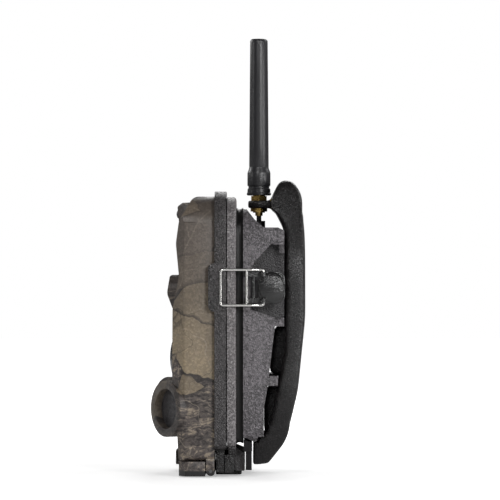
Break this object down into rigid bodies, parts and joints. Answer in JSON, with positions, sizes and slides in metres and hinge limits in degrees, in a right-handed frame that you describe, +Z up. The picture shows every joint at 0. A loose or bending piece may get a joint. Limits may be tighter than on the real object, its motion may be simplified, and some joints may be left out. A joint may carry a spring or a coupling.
{
  "type": "trail camera",
  "caption": "Clamshell trail camera with side latches, tree bracket and whip antenna.",
  "frame": {"origin": "middle of the base, where the camera stands", "axes": "+Z up along the antenna, -Y out of the lens, +X to the side"},
  "size_m": [0.092, 0.0787, 0.2229],
  "materials": {
    "camo_shell": "satin film-dipped camouflage",
    "frame_plastic": "fine textured charcoal",
    "housing_plastic": "fine speckled grey texture",
    "bracket_plastic": "satin dark grey",
    "antenna_rubber": "smooth charcoal rubber",
    "gold_plate": "gold plated",
    "bright_steel": "polished wire",
    "plain_steel": "satin",
    "lever_plastic": "glossy black",
    "seal_rubber": "soft black",
    "key_rubber": "matte silicone",
    "ir_pane": "dark infrared-passing acrylic",
    "lens_glass": "clear coated glass",
    "led_clear": "clear epoxy",
    "fresnel_plastic": "smoked polyethylene",
    "board_green": "solder mask",
    "black_plastic": "moulded",
    "sensor_can": "nickel can",
    "inner_plastic": "moulded",
    "screen": "switched-off LCD",
    "cell_jacket": "printed metal jacket"
  },
  "bodies": {
    "rear_case": {"rear_frame": "housing_plastic", "rear_housing": "housing_plastic", "rear_screws": "bright_steel", "rear_battery_tray": "inner_plastic", "rear_battery_cover": "inner_plastic", "rear_cells": "cell_jacket", "rear_contacts": "bright_steel", "gsm_board": "board_green", "coax_cable": "seal_rubber", "cable_grommet": "seal_rubber", "hinge_pin": "plain_steel", "hinge_clips": "plain_steel", "tree_bracket": "bracket_plastic", "tripod_insert": "gold_plate", "antenna_jack": "gold_plate", "jack_nut": "gold_plate", "latch_pins": "bright_steel"},
    "front_case": {"front_shell": "camo_shell", "front_frame": "frame_plastic", "seal_gasket": "seal_rubber", "frame_screws": "bright_steel", "ir_window": "ir_pane", "ir_led_board": "board_green", "ir_leds": "led_clear", "lens_window": "lens_glass", "lens_barrel": "black_plastic", "lens_glass": "lens_glass", "camera_board": "board_green", "pir_lens": "fresnel_plastic", "pir_sensors": "sensor_can", "side_lens_right": "fresnel_plastic", "side_lens_left": "fresnel_plastic", "light_sensor": "fresnel_plastic", "main_board": "board_green", "inner_panel": "inner_plastic", "lcd_screen": "screen", "front_cells": "cell_jacket", "front_contacts": "bright_steel", "front_battery_cover": "inner_plastic", "port_board": "board_green", "sd_slot": "plain_steel", "port_sockets": "plain_steel", "door_pin": "plain_steel"},
    "bottom_door": {"bottom_door": "camo_shell", "door_seal": "seal_rubber"},
    "antenna": {"antenna_base": "antenna_rubber", "antenna_whip": "antenna_rubber"},
    "lever_right": {"latch_lever_right": "lever_plastic"},
    "lever_left": {"latch_lever_left": "lever_plastic"},
    "bail_right": {"latch_bail_right": "bright_steel"},
    "bail_left": {"latch_bail_left": "bright_steel"},
    "sd_card": {"sd_card": "black_plastic"},
    "sim_card": {"sim_card": "black_plastic"},
    "power_switch": {"power_switch": "black_plastic"},
    "key_down": {"key_down": "key_rubber"},
    "key_left": {"key_left": "key_rubber"},
    "key_menu": {"key_menu": "key_rubber"},
    "key_ok": {"key_ok": "key_rubber"},
    "key_right": {"key_right": "key_rubber"},
    "key_up": {"key_up": "key_rubber"}
  },
  "joints": [
    {"name": "clamshell", "type": "hinge", "parent": "rear_case", "child": "front_case", "pos_m": [0, 0.0011, 0.0062], "axis": [1, 0, 0], "range_deg": [0, 95]},
    {"name": "bottom_door_hinge", "type": "hinge", "parent": "front_case", "child": "bottom_door", "pos_m": [0, -0.0082, 0.0026], "axis": [1, 0, 0], "range_deg": [0, 90]},
    {"name": "antenna_turn", "type": "hinge", "parent": "rear_case", "child": "antenna", "pos_m": [0, 0.0162, 0.15], "axis": [0, 0, 1], "continuous": true},
    {"name": "lever_right_hinge", "type": "hinge", "parent": "rear_case", "child": "lever_right", "pos_m": [0.0429, 0.0098, 0.0953], "axis": [0, 0, -1], "range_deg": [0, 130]},
    {"name": "lever_left_hinge", "type": "hinge", "parent": "rear_case", "child": "lever_left", "pos_m": [-0.0429, 0.0098, 0.0953], "axis": [0, 0, 1], "range_deg": [0, 130]},
    {"name": "bail_right_hinge", "type": "hinge", "parent": "lever_right", "child": "bail_right", "pos_m": [0.0444, 0.0183, 0.0953], "axis": [0, 0, -1], "range_deg": [-130, 0]},
    {"name": "bail_left_hinge", "type": "hinge", "parent": "lever_left", "child": "bail_left", "pos_m": [-0.0444, 0.0183, 0.0953], "axis": [0, 0, 1], "range_deg": [-130, 0]},
    {"name": "sd_card_slide", "type": "slide", "parent": "front_case", "child": "sd_card", "axis": [0, 0, -1], "range_m": [0, 0.004]},
    {"name": "sim_card_slide", "type": "slide", "parent": "rear_case", "child": "sim_card", "axis": [-1, 0, 0], "range_m": [0, 0.003]},
    {"name": "power_switch_slide", "type": "slide", "parent": "front_case", "child": "power_switch", "axis": [1, 0, 0], "range_m": [0, 0.0018]},
    {"name": "key_down_press", "type": "slide", "parent": "front_case", "child": "key_down", "axis": [0, -1, 0], "range_m": [0, 0.0008], "stiffness_N_per_m": 800, "springref_m": -0.0005},
    {"name": "key_left_press", "type": "slide", "parent": "front_case", "child": "key_left", "axis": [0, -1, 0], "range_m": [0, 0.0008], "stiffness_N_per_m": 800, "springref_m": -0.0005},
    {"name": "key_menu_press", "type": "slide", "parent": "front_case", "child": "key_menu", "axis": [0, -1, 0], "range_m": [0, 0.0008], "stiffness_N_per_m": 800, "springref_m": -0.0005},
    {"name": "key_ok_press", "type": "slide", "parent": "front_case", "child": "key_ok", "axis": [0, -1, 0], "range_m": [0, 0.0008], "stiffness_N_per_m": 800, "springref_m": -0.0005},
    {"name": "key_right_press", "type": "slide", "parent": "front_case", "child": "key_right", "axis": [0, -1, 0], "range_m": [0, 0.0008], "stiffness_N_per_m": 800, "springref_m": -0.0005},
    {"name": "key_up_press", "type": "slide", "parent": "front_case", "child": "key_up", "axis": [0, -1, 0], "range_m": [0, 0.0008], "stiffness_N_per_m": 800, "springref_m": -0.0005}
  ],
  "couplings": [
    {"joint": "bail_right_hinge", "follows": "lever_right_hinge", "ratio": -1},
    {"joint": "bail_left_hinge", "follows": "lever_left_hinge", "ratio": -1}
  ]
}
